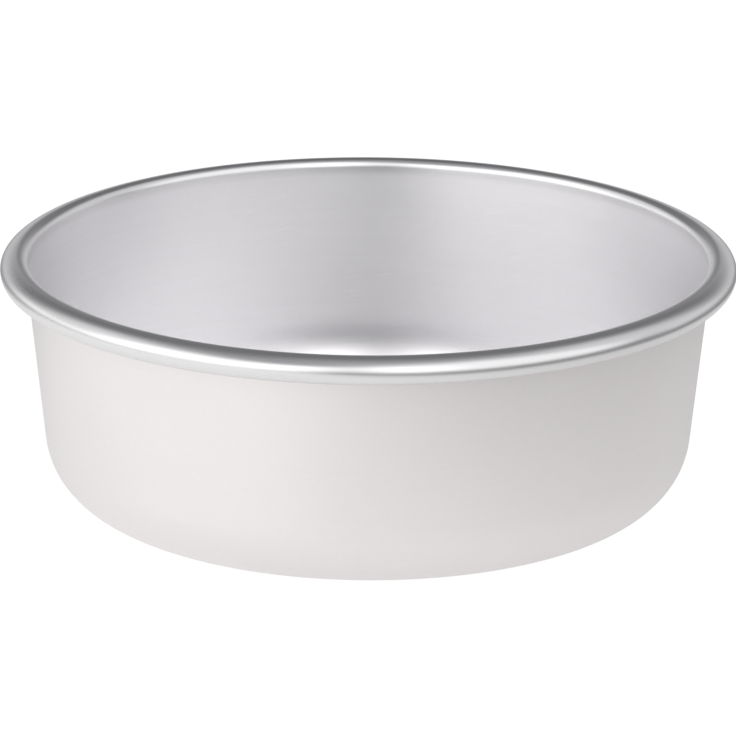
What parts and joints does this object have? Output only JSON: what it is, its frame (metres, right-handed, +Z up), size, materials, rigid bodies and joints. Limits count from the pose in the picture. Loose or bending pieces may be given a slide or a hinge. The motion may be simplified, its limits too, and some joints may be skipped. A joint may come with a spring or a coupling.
{
  "type": "cake pan",
  "caption": "Round deep cake pan of satin aluminium sheet with a leaning wall, a wide rounded base corner and a rim rolled outwards over a stiffening wire.",
  "frame": {"origin": "centre of the flat underside, on the surface that the pan stands on", "axes": "+Z up along the pan's axis, towards the open mouth; +Y towards the back, where the rim wire's ends meet"},
  "size_m": [0.2202, 0.2202, 0.0762],
  "materials": {
    "satin_sheet": "satin, with fine turned lines round the axis and a burnished rim",
    "rim_wire": "plain drawn wire"
  },
  "bodies": {
    "root": {"pan_shell": "satin_sheet", "rim_wire": "rim_wire"}
  },
  "joints": []
}
